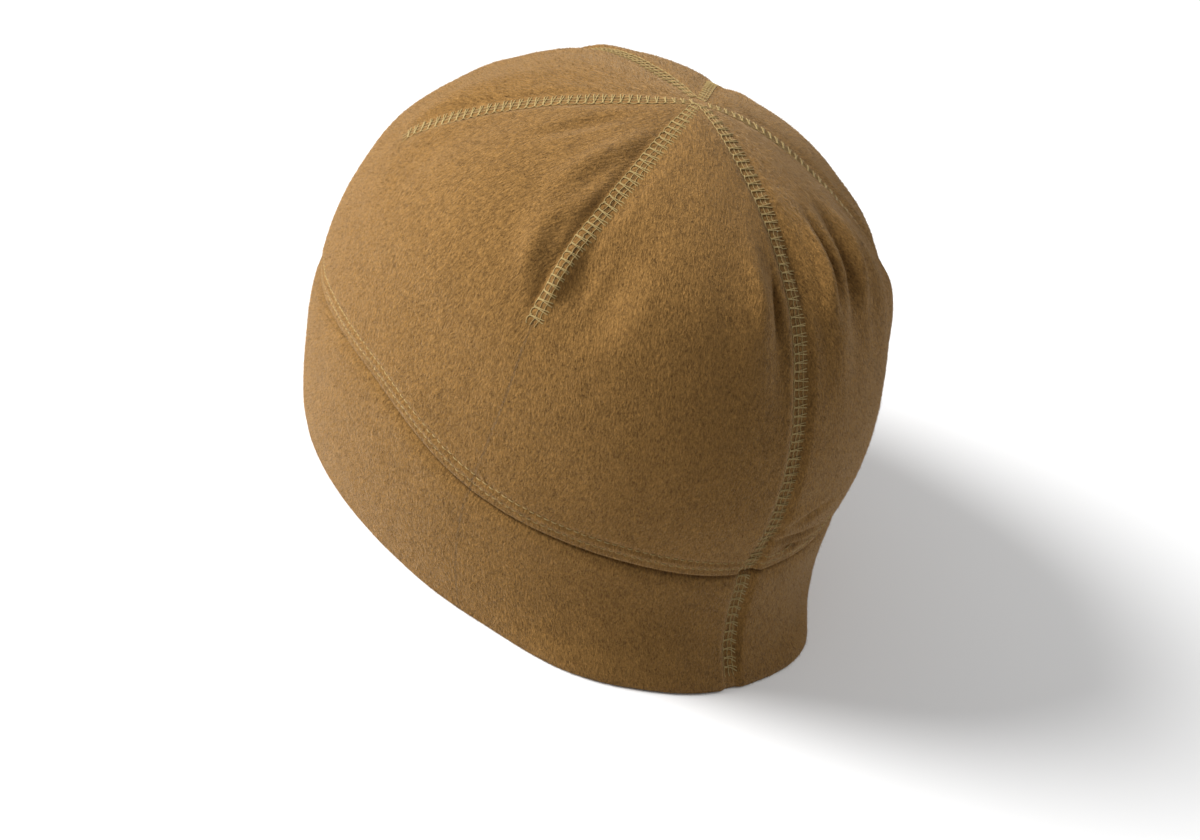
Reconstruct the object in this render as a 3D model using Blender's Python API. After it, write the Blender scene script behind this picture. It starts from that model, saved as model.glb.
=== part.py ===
"""A fleece beanie: a darted crown over a folded band, in the shape that it has when worn.

Metres, +Z up. The origin is under the middle of the cap, on the surface that its hem stands on. The
forehead is towards -Y, the nape towards +Y and the wearer's left towards +X. A turn is an angle in
degrees round the cap, 0 at the centre back and 90 at the wearer's left. A climb is the share of the
way from the hem, 0, over the cap's side to the point on top, 1.
"""

import math
from collections import namedtuple

import bmesh
import bpy
import numpy as np
from mathutils import Matrix

# Sizes of the whole cap, over its cloth
CAP_LENGTH = 0.206
CAP_WIDTH = 0.166
CAP_HEIGHT = 0.153
TOP_SETBACK = 0.018  # how far the point on top lies behind the middle of the hem

# Cloth and clearances
CROWN_CLOTH = 0.0022
BAND_CLOTH = 0.0020
FIT_GAP = 0.0003  # between the crown and the band's seam allowance
PLY_GAP = 0.0004  # between the band's two plies

# Band
BAND_HEIGHT = 0.050
SEAM_ALLOWANCE = 0.007  # what the band reaches up inside the crown
HEM_PRESSED = 0.0009  # how much of the hem's round is pressed flat where it rests

# The groove along the band's seam
GROOVE_DEPTH = 0.0013
GROOVE_REACH = 0.0045

# Seam valleys and soft folds
SEAM_DEPTH = 0.0016
SEAM_REACH = 0.0050
PANEL_FULLNESS = 0.0014
FOLD_HEIGHT = 0.0030
FOLD_REACH = 0.0100

# Climbs at which a dart's valley has opened, and between which the panels swell
DART_POINT = 0.06
FULL_FROM = 0.50
FULL_AT = 0.80

# Fineness of the mesh
PANELS = 6
COLUMNS_PER_PANEL = 13
GATHER_AT_SEAMS = 0.55  # 0 spaces the columns evenly, and 1 bunches them up at the seams
CROWN_ROWS = 22
TOP_ROW_CLIMB = 0.965  # the last ring below the point on top
BAND_RING_SHARES = (0.68, 0.35)  # of the seam's height
SEAM_BEND = 0.0018  # from the band's seam, where a ply starts and ends its step inwards
SHOULDER_ROUND = 0.0006  # the outer ply's shoulder under the crown's edge
SHARP_ANGLE = 50

# Steps of the measurements along the shell
CLIMB_STEP = 0.001
TURN_STEP = 0.1
CLIMB_STEPS = 400
FOLD_STEPS = 25

# Shares: level of the height, side of half the width, front and back of half the length, and
# setback of the top's setback
Section = namedtuple("Section", "name level side front back setback")
SECTIONS = (
    Section("hem", 0.00, 0.915, 0.975, 1.105, 0.00),
    Section("low band", 0.12, 0.966, 0.990, 1.018, 0.02),
    Section("band seam", 0.26, 1.000, 1.005, 0.996, 0.06),
    Section("over the ears", 0.40, 0.998, 1.000, 1.014, 0.14),
    Section("fullest", 0.54, 0.971, 0.961, 0.983, 0.25),
    Section("shoulder", 0.68, 0.916, 0.859, 0.883, 0.39),
    Section("high crown", 0.82, 0.743, 0.696, 0.711, 0.56),
    Section("near the top", 0.94, 0.390, 0.431, 0.407, 0.77),
    Section("top", 1.00, 0.000, 0.000, 0.000, 1.00),
)

# Height of the band's seam round the cap, as a share of the band's height
SeamLevel = namedtuple("SeamLevel", "turn level")
SEAM_LEVELS = (
    SeamLevel(0, 0.76),
    SeamLevel(30, 0.81),
    SeamLevel(60, 0.87),
    SeamLevel(90, 1.09),
    SeamLevel(120, 1.02),
    SeamLevel(150, 0.93),
    SeamLevel(180, 0.92),
)

# The centre back seam and the five darts: the climbs that each runs between, and its depth as a
# share of the seams' depth
Valley = namedtuple("Valley", "name turn low high depth")
VALLEYS = (
    Valley("centre back seam", 0, 0.00, 1.00, 1.0),
    Valley("left back dart", 60, 0.62, 1.00, 1.0),
    Valley("left front dart", 120, 0.66, 1.00, 1.0),
    Valley("front dart", 180, 0.66, 1.00, 1.0),
    Valley("right front dart", 240, 0.66, 1.00, 1.0),
    Valley("right back dart", 304, 0.64, 1.00, 1.0),
)

# Soft folds that the seams pull into the cloth. Each runs from a first to a last place, is highest
# at its peak, a share of its length, and has shares of the folds' height and reach. A tuck or a
# hollow has a height below 0.
Fold = namedtuple("Fold", "name turn climb turn_end climb_end peak height reach")
FOLDS = (
    Fold("ridge in front of the left back dart", 80, 0.93, 65, 0.62, 0.68, 0.95, 0.90),
    Fold("tuck behind that ridge", 67, 0.80, 62, 0.62, 0.60, -0.60, 0.60),
    Fold("hollow behind the left back dart", 52, 0.80, 49, 0.58, 0.55, -0.50, 1.20),
    Fold("ridge over the left front dart", 136, 0.90, 129, 0.66, 0.60, 0.45, 0.90),
    Fold("hollow under the left front dart", 110, 0.84, 115, 0.60, 0.60, -0.45, 1.30),
    Fold("hollow left of the front dart", 152, 0.92, 156, 0.60, 0.50, -0.65, 2.00),
    Fold("tuck left of the front dart", 168, 0.92, 170, 0.68, 0.50, -0.40, 0.70),
    Fold("ridge right of the front dart", 190, 0.94, 193, 0.66, 0.50, 0.35, 0.80),
    Fold("hollow over the right brow", 212, 0.92, 222, 0.68, 0.50, -0.50, 2.00),
    Fold("ridge at the right front dart", 246, 0.88, 247, 0.66, 0.60, 0.35, 0.90),
    Fold("ridge in front of the right back dart", 284, 0.90, 296, 0.64, 0.80, 0.30, 0.90),
    Fold("ridge under the right back dart", 310, 0.74, 311, 0.54, 0.40, 0.65, 1.20),
    Fold("ridge behind the right back dart", 321, 0.88, 328, 0.56, 0.50, 0.75, 0.90),
    Fold("tuck between the right ridges", 338, 0.86, 340, 0.60, 0.50, -0.50, 0.75),
    Fold("lip right of the back seam", 347, 0.90, 349, 0.54, 0.50, 0.80, 0.80),
    Fold("slit left of the back seam", 8, 0.82, 5, 0.54, 0.50, -0.45, 0.60),
    Fold("ridge left of the back seam", 15, 0.88, 12, 0.54, 0.45, 0.35, 0.90),
    Fold("crease over the nape", 8, 0.35, -30, 0.40, 0.50, 0.40, 0.70),
    Fold("flare of the hem left of the back seam", 18, 0.01, 56, 0.01, 0.50, 0.70, 0.90),
    Fold("flare of the hem right of the back seam", 354, 0.01, 318, 0.01, 0.55, 0.95, 0.90),
)

COYOTE_BROWN = (0.205, 0.112, 0.044, 1.0)
COYOTE_BROWN_DARK = (0.180, 0.097, 0.038, 1.0)


def clear_scene():
    for thing in list(bpy.data.objects):
        bpy.data.objects.remove(thing, do_unlink=True)


def smooth_through(values, place, before=None):
    """A Catmull-Rom curve through evenly spaced values, read at places from 0 to 1.

    It starts straight, or from the value before the first, and past the last value it comes back
    the way it went, on the far side of the top where the last value is 0.
    """
    values = np.asarray(values, float)
    before = 2 * values[0] - values[1] if before is None else before
    beyond = -values[-2] if values[-1] == 0 else values[-2]
    run = np.concatenate([[before], values, [beyond]])
    station = np.asarray(place, float) * (len(values) - 1)
    step = np.clip(np.floor(station).astype(int), 0, len(values) - 2)
    t = station - step
    a, b, c, d = (run[step + k] for k in range(4))
    return b + 0.5 * t * (
        (c - a) + t * (2 * a - 5 * b + 4 * c - d) + t * t * (3 * b - a - 3 * c + d)
    )


def share_of(name, climb):
    """A column of the sections' table at these climbs."""
    return smooth_through([getattr(section, name) for section in SECTIONS], climb)


def middle_of(climb):
    """Where the middle of a section lies along Y."""
    return TOP_SETBACK * share_of("setback", climb)


def height_at(climb):
    return CAP_HEIGHT * share_of("level", climb)


def climb_at(height):
    """The climb at which the shell has this height."""
    places = np.linspace(0, 1, CLIMB_STEPS)
    return np.interp(height, height_at(places), places)


def bare_shell(turn, climb):
    """The cap's outer face without seams and folds."""
    angle = np.radians(turn)
    reach = np.where(np.cos(angle) > 0, share_of("back", climb), share_of("front", climb))
    x = CAP_WIDTH / 2 * share_of("side", climb) * np.sin(angle)
    y = CAP_LENGTH / 2 * reach * np.cos(angle) + middle_of(climb)
    return np.stack(np.broadcast_arrays(x, y, height_at(climb)), axis=-1)


def outward(turn, climb):
    """The unit normal of the bare shell, level at the hem, where the cloth stands on its foot."""
    held = np.clip(climb, CLIMB_STEP, 1 - CLIMB_STEP)
    along = bare_shell(turn, held + CLIMB_STEP) - bare_shell(turn, held - CLIMB_STEP)
    held = np.minimum(held, 1 - 2 * CLIMB_STEP)
    around = bare_shell(turn + TURN_STEP, held) - bare_shell(turn - TURN_STEP, held)
    normal = np.cross(along, around)
    normal[..., 2] *= ease(2 * height_at(climb) / BAND_HEIGHT)
    return normal / np.linalg.norm(normal, axis=-1, keepdims=True)


def seam_height(turn):
    """The height of the band's seam, the same on the left and on the right."""
    folded = np.abs((turn + 180) % 360 - 180)
    levels = [row.level for row in SEAM_LEVELS]
    return BAND_HEIGHT * smooth_through(levels, folded / 180, before=levels[1])


def ease(t):
    """From 0 to 1 with level ends."""
    t = np.clip(t, 0, 1)
    return t * t * (3 - 2 * t)


def hump(distance, reach):
    """From 1 on a line to 0 at its reach."""
    return 0.5 + 0.5 * np.cos(math.pi * np.clip(np.abs(distance) / reach, 0, 1))


def seam_relief(turn, climb):
    """The valleys of the back seam and the darts, and the fullness of the panels between them."""
    shell = bare_shell(turn, climb)
    radius = np.hypot(shell[..., 0], shell[..., 1] - middle_of(climb))
    deepest = np.zeros(len(shell))
    for row in VALLEYS:
        away = np.radians((turn - row.turn + 180) % 360 - 180)
        across = np.where(np.abs(away) < math.pi / 2, radius * away, CAP_WIDTH)
        begun = 1.0 if row.low == 0 else ease((climb - row.low) / DART_POINT)
        deepest = np.maximum(deepest, row.depth * begun * hump(across, SEAM_REACH))
    on_panel = np.sin(np.radians(turn) * PANELS / 2) ** 2
    on_crown = ease((climb - FULL_FROM) / (FULL_AT - FULL_FROM)) * ease((1 - climb) / (1 - FULL_AT))
    return PANEL_FULLNESS * on_panel * on_crown - SEAM_DEPTH * deepest


def fold_relief(turn, climb):
    """The sum of the soft folds, by the distance to each fold's line on the shell."""
    shell = bare_shell(turn, climb)
    share = np.linspace(0, 1, FOLD_STEPS)
    total = np.zeros(len(shell))
    for row in FOLDS:
        line_turn = row.turn + (row.turn_end - row.turn) * share
        line_climb = row.climb + (row.climb_end - row.climb) * share
        gaps = np.linalg.norm(shell[:, None] - bare_shell(line_turn, line_climb), axis=-1)
        t = share[gaps.argmin(axis=1)]
        rise = np.where(t < row.peak, ease(t / row.peak), ease((1 - t) / (1 - row.peak)))
        total += row.height * rise * hump(gaps.min(axis=1), row.reach * FOLD_REACH)
    return FOLD_HEIGHT * total


def cloth(turn, climb, inset, above_seam):
    """Points in the cap's cloth, so far in from its outer face. Beside the band's seam, the cloth
    rolls in to a groove."""
    relief = seam_relief(turn, climb) + fold_relief(turn, climb)
    rolled_in = GROOVE_DEPTH * hump(above_seam, GROOVE_REACH)
    return bare_shell(turn, climb) + outward(turn, climb) * (relief - rolled_in - inset)[:, None]


def column_turns():
    """The turns of the mesh's columns, closer together beside the seams."""
    share = np.arange(COLUMNS_PER_PANEL) / COLUMNS_PER_PANEL
    gathered = share - GATHER_AT_SEAMS * np.sin(2 * math.pi * share) / (2 * math.pi)
    return np.concatenate([(k + gathered) * 360 / PANELS for k in range(PANELS)])


def crown_face(turns, inset):
    """The rings of one face of the crown, from the band's seam up to the last below the top."""
    lowest = climb_at(seam_height(turns) + FIT_GAP / 2)
    rings = []
    for share in np.linspace(0, 1, CROWN_ROWS):
        climb = lowest + (TOP_ROW_CLIMB - lowest) * share
        above_seam = height_at(climb) - seam_height(turns)
        rings.append(cloth(turns, climb, np.full(len(turns), inset), above_seam))
    return rings


def crown_top(inset):
    """The point where all the seams meet, on one face of the crown."""
    turn, climb = np.array([0.0]), np.array([1.0])
    return cloth(turn, climb, np.array([inset]), np.array([CAP_HEIGHT]))[0]


def band_ring(turns, height, inset):
    """One ring of the band at a height that may change round the cap."""
    height = np.broadcast_to(height, turns.shape)
    inset = np.full(len(turns), inset)
    return cloth(turns, climb_at(height), inset, height - seam_height(turns))


def band_rings(turns):
    """The closed outline of the folded strip: down its outer face, round the hem, up its inner
    face, then down and up between the plies."""
    seam = seam_height(turns)
    tucked = CROWN_CLOTH + FIT_GAP  # how far the crown's cloth pushes the seam allowance in
    both_plies = 2 * BAND_CLOTH + PLY_GAP
    round_radius = both_plies / 2
    round_height = round_radius - HEM_PRESSED
    foot_edge = round_radius - math.sqrt(round_radius**2 - round_height**2)
    half_angle = math.asin(round_height / round_radius) / 2
    half_edge = round_radius * (1 - math.cos(half_angle))
    half_height = round_height - round_radius * math.sin(half_angle)
    shoulder = seam - FIT_GAP / 2

    def ply_face(inset):
        """One face of a ply, from the top of its seam allowance down to the hem's round."""
        rings = [band_ring(turns, seam + SEAM_ALLOWANCE, inset + tucked)]
        rings.append(band_ring(turns, seam + SEAM_BEND, inset + tucked))
        rings.append(band_ring(turns, seam - SEAM_BEND, inset))
        for share in BAND_RING_SHARES:
            rings.append(band_ring(turns, seam * share, inset))
        rings.append(band_ring(turns, round_height, inset))
        return rings

    outer = ply_face(0)
    outer[1] = band_ring(turns, shoulder, tucked)
    outer.insert(2, band_ring(turns, shoulder - SHOULDER_ROUND, SHOULDER_ROUND))
    hem = [
        band_ring(turns, half_height, half_edge),
        band_ring(turns, 0, foot_edge),
        band_ring(turns, 0, both_plies - foot_edge),
        band_ring(turns, half_height, both_plies - half_edge),
    ]
    inner = ply_face(both_plies)[::-1]
    return outer + hem + inner + ply_face(BAND_CLOTH + PLY_GAP) + ply_face(BAND_CLOTH)[::-1]


def add_ring(mesh, points):
    return [mesh.verts.new(point) for point in points]


def bridge(mesh, ring, next_ring):
    """Faces between two rings with as many points each."""
    for k in range(len(ring)):
        j = (k + 1) % len(ring)
        mesh.faces.new((ring[k], ring[j], next_ring[j], next_ring[k]))


def close_top(mesh, ring, point):
    tip = mesh.verts.new(point)
    for k in range(len(ring)):
        mesh.faces.new((ring[k], ring[(k + 1) % len(ring)], tip))


def fleece(name, colour):
    material = bpy.data.materials.new(name)
    material.use_nodes = True
    shader = material.node_tree.nodes["Principled BSDF"]
    shader.inputs["Base Color"].default_value = colour
    shader.inputs["Roughness"].default_value = 0.95
    shader.inputs["Metallic"].default_value = 0.0
    shader.inputs["Sheen Weight"].default_value = 0.4
    material.diffuse_color = colour
    return material


def finish(mesh, name, material):
    """The mesh as an object of its own, with its faces outwards."""
    bmesh.ops.recalc_face_normals(mesh, faces=mesh.faces)
    data = bpy.data.meshes.new(name)
    mesh.to_mesh(data)
    mesh.free()
    data.shade_smooth()
    data.set_sharp_from_angle(angle=math.radians(SHARP_ANGLE))
    data.materials.append(material)
    thing = bpy.data.objects.new(name, data)
    bpy.context.scene.collection.objects.link(thing)
    return thing


def build_crown():
    """One wall of cloth from the band's seam to the point on top."""
    turns = column_turns()
    mesh = bmesh.new()
    faces = []
    for inset in (0.0, CROWN_CLOTH):
        rings = [add_ring(mesh, points) for points in crown_face(turns, inset)]
        for ring, next_ring in zip(rings, rings[1:]):
            bridge(mesh, ring, next_ring)
        close_top(mesh, rings[-1], crown_top(inset))
        faces.append(rings)
    bridge(mesh, faces[0][0], faces[1][0])
    return finish(mesh, "crown", fleece("crown_fleece", COYOTE_BROWN))


def build_band():
    """A strip folded double, its raw edges up inside the crown."""
    mesh = bmesh.new()
    rings = [add_ring(mesh, points) for points in band_rings(column_turns())]
    for ring, next_ring in zip(rings, rings[1:] + rings[:1]):
        bridge(mesh, ring, next_ring)
    return finish(mesh, "band", fleece("band_fleece", COYOTE_BROWN_DARK))


def set_over_origin(pieces):
    """Moves the meshes level, so that the origin is under the middle of their common box."""
    corners = np.array([corner for piece in pieces for corner in piece.bound_box])
    middle = (corners.min(axis=0) + corners.max(axis=0)) / 2
    for piece in pieces:
        piece.data.transform(Matrix.Translation((-middle[0], -middle[1], 0)))


def main():
    clear_scene()
    set_over_origin([build_crown(), build_band()])


main()
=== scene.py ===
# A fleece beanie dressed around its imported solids: brushed cloth, flatlock seams and a folded band
import math
from collections import namedtuple

import bpy
import numpy as np
from mathutils import Matrix, Vector, noise
from mathutils.bvhtree import BVHTree


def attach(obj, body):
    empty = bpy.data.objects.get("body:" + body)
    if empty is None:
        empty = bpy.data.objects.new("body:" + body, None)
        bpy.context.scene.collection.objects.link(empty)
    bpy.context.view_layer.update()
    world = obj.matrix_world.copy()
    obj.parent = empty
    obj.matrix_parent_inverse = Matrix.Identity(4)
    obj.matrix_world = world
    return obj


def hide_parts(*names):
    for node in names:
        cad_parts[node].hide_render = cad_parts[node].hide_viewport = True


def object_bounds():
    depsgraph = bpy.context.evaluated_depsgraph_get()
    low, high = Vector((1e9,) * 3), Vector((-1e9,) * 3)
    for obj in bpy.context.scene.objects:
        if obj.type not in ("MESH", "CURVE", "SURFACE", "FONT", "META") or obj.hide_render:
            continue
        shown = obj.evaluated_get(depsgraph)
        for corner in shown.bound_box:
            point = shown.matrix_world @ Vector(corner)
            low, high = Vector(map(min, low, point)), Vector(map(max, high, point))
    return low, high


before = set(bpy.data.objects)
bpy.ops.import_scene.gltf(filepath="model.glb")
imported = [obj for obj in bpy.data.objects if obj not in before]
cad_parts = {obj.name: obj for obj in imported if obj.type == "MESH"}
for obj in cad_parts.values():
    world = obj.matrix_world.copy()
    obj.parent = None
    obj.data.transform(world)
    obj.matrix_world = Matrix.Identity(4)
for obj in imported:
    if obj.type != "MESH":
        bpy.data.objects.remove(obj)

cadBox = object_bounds()

# The cap's form, in metres and degrees. A turn goes round the cap, 0 at the centre back and 90 at
# the wearer's left. A climb is the share of the way from the hem, 0, to the point on top, 1.
capForm = {
    "length": 0.206,  # over the cloth, brow to nape
    "width": 0.166,
    "height": 0.153,
    "topSetback": 0.018,  # how far the point on top lies behind the middle of the hem
    "bandHeight": 0.050,
    "panels": 6,
    "seamDepth": 0.0016,
    "seamBed": 0.0021,  # half the width of the flat strip that the ladder lies on
    "seamReach": 0.0066,
    "fullness": 0.0014,  # how far the panels swell between the seams
    "fullFrom": 0.50,
    "fullAt": 0.80,
    "dartPoint": 0.06,  # climb over which a dart's valley opens
    "foldHeight": 0.0030,
    "foldReach": 0.0100,
    "foldPoints": 8,  # places along each fold's line
    "foldMargin": 0.012,  # room round a fold's reach within which it is looked for
    "grooveDepth": 0.0009,  # along the band's seam
    "grooveReach": 0.0050,
    "edgeRoll": 0.0010,  # radius of the cloth's roll into the band's seam
    "climbPlaces": 400,
    "climbStep": 0.001,  # steps over which the shell's slope is taken
    "turnStep": 0.1,
}

# Shares: level of the height, side of half the width, front and back of half the length, and
# setback of the top's setback. From the hem to the point on top, evenly spaced in climb
section = namedtuple("section", "level side front back setback")
sections = (
    section(0.00, 0.915, 0.975, 1.105, 0.00),
    section(0.12, 0.966, 0.990, 1.018, 0.02),
    section(0.26, 1.000, 1.005, 0.996, 0.06),
    section(0.40, 0.998, 1.000, 1.014, 0.14),
    section(0.54, 0.971, 0.961, 0.983, 0.25),
    section(0.68, 0.916, 0.859, 0.883, 0.39),
    section(0.82, 0.743, 0.696, 0.711, 0.56),
    section(0.94, 0.390, 0.431, 0.407, 0.77),
    section(1.00, 0.000, 0.000, 0.000, 1.00),
)

# Height of the band's seam as a share of the band's height, at every 30 degrees from back to brow
seamLevels = (0.76, 0.81, 0.87, 1.09, 1.02, 0.93, 0.92)

# The turn of each seam at five climbs, the climb where it starts, how crisp the groove along its
# edge is, the side of that edge, 1 for the larger turns, and how far from the point on top its
# ladder starts to narrow and sink in
seamLine = namedtuple("seamLine", "name low at60 at70 at80 at90 top crisp side crowding")
seamLines = (
    seamLine("centre back seam", 0.00, 0, 0, 0, 0, 0, 0.5, 1, 0.022),
    seamLine("left back dart", 0.62, 60.5, 60.5, 60.5, 60.5, 60.5, 0.7, 1, 0.022),
    seamLine("left front dart", 0.66, 124, 125.5, 120.5, 111, 104, 0.5, -1, 0.022),
    seamLine("front dart", 0.66, 183, 184, 186, 187, 183, 0.5, 1, 0.022),
    seamLine("right front dart", 0.66, 240, 240, 240, 240, 240, 0.3, 1, 0.080),
    seamLine("right back dart", 0.64, 306, 306.5, 305.5, 299, 296, 0.9, 1, 0.022),
)

# Soft folds, each from a first to a last place, highest at its peak, in shares of the folds' height
# and reach. A tuck or a hollow has a height below 0, and a sharper fold a larger edge
fold = namedtuple("fold", "turn climb turnEnd climbEnd peak height reach edge")
folds = (
    fold(80, 0.93, 65.5, 0.63, 0.68, 0.50, 0.80, 1.0),  # ridge in front of the left back dart
    fold(62, 0.87, 70, 0.75, 0.80, 0.30, 0.50, 1.0),  # and its crest, bent back to the dart's point
    fold(71, 0.77, 65, 0.65, 0.45, 0.42, 0.50, 1.0),
    fold(69, 0.95, 80, 0.76, 0.50, 0.50, 0.55, 1.0),
    fold(88, 0.94, 98, 0.79, 0.50, -0.42, 0.45, 1.0),
    fold(67, 0.80, 62, 0.62, 0.60, -0.20, 0.50, 1.4),
    fold(60.5, 0.80, 60.5, 0.635, 0.70, 0.55, 0.85, 1.0),  # rise under its ladder
    fold(49.5, 0.83, 50.5, 0.61, 0.62, -1.20, 1.45, 1.0),  # and the hollow that it falls into behind
    fold(55.6, 0.81, 56.6, 0.635, 0.62, -0.80, 0.62, 1.0),
    fold(136, 0.90, 129, 0.66, 0.60, 0.45, 0.90, 1.0),
    fold(110, 0.84, 115, 0.60, 0.60, -0.45, 1.30, 1.0),
    fold(152, 0.92, 156, 0.60, 0.50, -0.65, 2.00, 1.0),
    fold(168, 0.92, 170, 0.68, 0.50, -0.40, 0.70, 1.0),
    fold(190, 0.94, 193, 0.66, 0.50, 0.35, 0.80, 1.0),
    fold(212, 0.92, 222, 0.68, 0.50, -0.50, 2.00, 1.0),
    fold(246, 0.88, 247, 0.66, 0.60, 0.35, 0.90, 1.0),
    fold(284, 0.90, 296, 0.64, 0.80, 0.30, 0.90, 1.0),
    fold(310, 0.74, 311, 0.54, 0.40, 0.65, 1.20, 1.0),
    fold(321, 0.88, 328, 0.56, 0.50, 0.75, 0.90, 1.0),
    fold(338, 0.86, 340, 0.60, 0.50, -0.50, 0.75, 1.0),
    fold(347, 0.90, 349, 0.54, 0.50, 0.80, 0.80, 1.0),
    fold(8, 0.82, 5, 0.54, 0.50, -0.45, 0.60, 1.0),
    fold(15, 0.88, 12, 0.54, 0.45, 0.35, 0.90, 1.0),
    fold(8, 0.35, -30, 0.40, 0.50, 0.40, 0.70, 1.0),  # crease over the nape
    fold(18, 0.01, 56, 0.01, 0.50, 0.70, 0.90, 1.0),  # flares of the hem beside the back seam
    fold(354, 0.01, 318, 0.01, 0.55, 0.95, 0.90, 1.0),
    fold(6.5, 0.80, 7, 0.68, 0.50, -0.60, 0.19, 1.4),  # tuck at the left of the back seam
    fold(14.5, 0.85, 10, 0.68, 0.60, 0.65, 0.50, 1.0),
    fold(344.5, 0.87, 352, 0.69, 0.55, 0.85, 0.40, 1.3),  # lip at its right, with ripples beyond
    fold(356, 0.87, 356.5, 0.70, 0.50, -0.55, 0.40, 1.0),
    fold(337, 0.86, 343.5, 0.69, 0.50, 0.90, 0.40, 1.2),
    fold(323.5, 0.85, 336.5, 0.69, 0.50, 0.90, 0.42, 1.2),
    fold(341, 0.86, 348, 0.69, 0.50, -0.75, 0.30, 1.3),
    fold(330, 0.86, 340, 0.69, 0.50, -0.75, 0.32, 1.3),
    fold(4, 0.325, -32, 0.29, 0.40, -0.75, 0.32, 1.3),  # fine creases over the nape
    fold(0, 0.30, -26, 0.262, 0.45, -0.60, 0.28, 1.3),
    fold(0, 0.346, -20, 0.40, 0.50, -0.70, 0.32, 1.3),
    fold(1.5, 0.02, 2.5, 0.15, 0.20, -0.15, 0.30, 1.2),  # pucker at the foot of the band's join
)


def smoothThrough(values, place, before=None):
    # a smooth curve through evenly spaced values, which comes back past a last value of 0
    values = np.asarray(values, float)
    before = 2 * values[0] - values[1] if before is None else before
    beyond = -values[-2] if values[-1] == 0 else values[-2]
    run = np.concatenate([[before], values, [beyond]])
    station = np.asarray(place, float) * (len(values) - 1)
    step = np.clip(np.floor(station).astype(int), 0, len(values) - 2)
    t = station - step
    a, b, c, d = (run[step + k] for k in range(4))
    return b + 0.5 * t * ((c - a) + t * (2 * a - 5 * b + 4 * c - d) + t * t * (3 * b - a - 3 * c + d))


def ease(t):
    t = np.clip(t, 0, 1)
    return t * t * (3 - 2 * t)


def hump(distance, reach):
    return 0.5 + 0.5 * np.cos(math.pi * np.clip(np.abs(distance) / reach, 0, 1))


def shareOf(name, climb):
    return smoothThrough([getattr(row, name) for row in sections], climb)


def middleOf(climb):
    return capForm["topSetback"] * shareOf("setback", climb)


def heightAt(climb):
    return capForm["height"] * shareOf("level", climb)


def climbAt(height):
    places = np.linspace(0, 1, capForm["climbPlaces"])
    return np.interp(height, heightAt(places), places)


def bareShell(turn, climb):
    angle = np.radians(turn)
    reach = np.where(np.cos(angle) > 0, shareOf("back", climb), shareOf("front", climb))
    x = capForm["width"] / 2 * shareOf("side", climb) * np.sin(angle)
    y = capForm["length"] / 2 * reach * np.cos(angle) + middleOf(climb)
    return np.stack(np.broadcast_arrays(x, y, heightAt(climb)), axis=-1)


def outward(turn, climb):
    step, aside = capForm["climbStep"], capForm["turnStep"]
    held = np.clip(climb, step, 1 - step)
    along = bareShell(turn, held + step) - bareShell(turn, held - step)
    held = np.minimum(held, 1 - 2 * step)
    around = bareShell(turn + aside, held) - bareShell(turn - aside, held)
    normal = np.cross(along, around)
    normal[..., 2] *= ease(2 * heightAt(climb) / capForm["bandHeight"])  # level at the hem
    return normal / np.linalg.norm(normal, axis=-1, keepdims=True)


def seamHeight(turn):
    folded = np.abs((turn + 180) % 360 - 180)
    return capForm["bandHeight"] * smoothThrough(seamLevels, folded / 180, before=seamLevels[1])


def seamTurn(line, climb):
    # straight down below its lowest named climb
    values = [line.at60, line.at70, line.at80, line.at90, line.top]
    return smoothThrough(values, np.clip((climb - 0.6) / 0.4, 0, 1), before=line.at60)


def acrossSeam(line, turn, climb):
    # the distance from a seam along the cloth, above 0 towards larger turns
    shell = bareShell(turn, climb)
    radius = np.hypot(shell[..., 0], shell[..., 1] - middleOf(climb))
    away = np.radians((turn - seamTurn(line, climb) + 180) % 360 - 180)
    return np.where(np.abs(away) < math.pi / 2, radius * away, capForm["width"] * np.sign(away))


def rough(points, size, seed):
    # smooth noise from -1 to 1 with features of this size
    shift = Vector((seed * 17.3, seed * 5.1, seed * 9.7))
    return np.array([noise.noise(Vector(p) / size + shift) for p in points])


# How the cloth lies: slow waves, small ripples, and what the seams do to it
clothLook = {
    "wave": 0.0005,
    "waveSize": 0.024,
    "ripple": 0.00012,
    "rippleSize": 0.006,
    "stitchRows": (0.0032, 0.0064),  # coverstitched rows above the band's seam
    "rowDepth": 0.0005,
    "rowWidth": 0.0008,
}
seamLook = {
    "groove": 0.0006,
    "grooveAt": 0.0029,
    "grooveWidth": 0.0007,
    "lip": 0.0005,
    "lipAt": 0.0020,
    "lipWidth": 0.0014,
    "pucker": 0.0004,
    "puckerSize": 0.0055,
    "puckerReach": 0.0120,
    "puckerPlaces": (0.03, 0.165, 0.12),  # the noise's steps over a seam, up it and away from it
    "crispFade": 0.04,  # climbs over which the groove fades towards the top
    "topFade": 0.28,  # and over which the valleys do
    "topShare": 0.05,  # the share of a valley's depth that is left
    "hemFade": 0.12,
    "hemStart": 0.05,  # climb below the hem where the fade towards it would end
}


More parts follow.
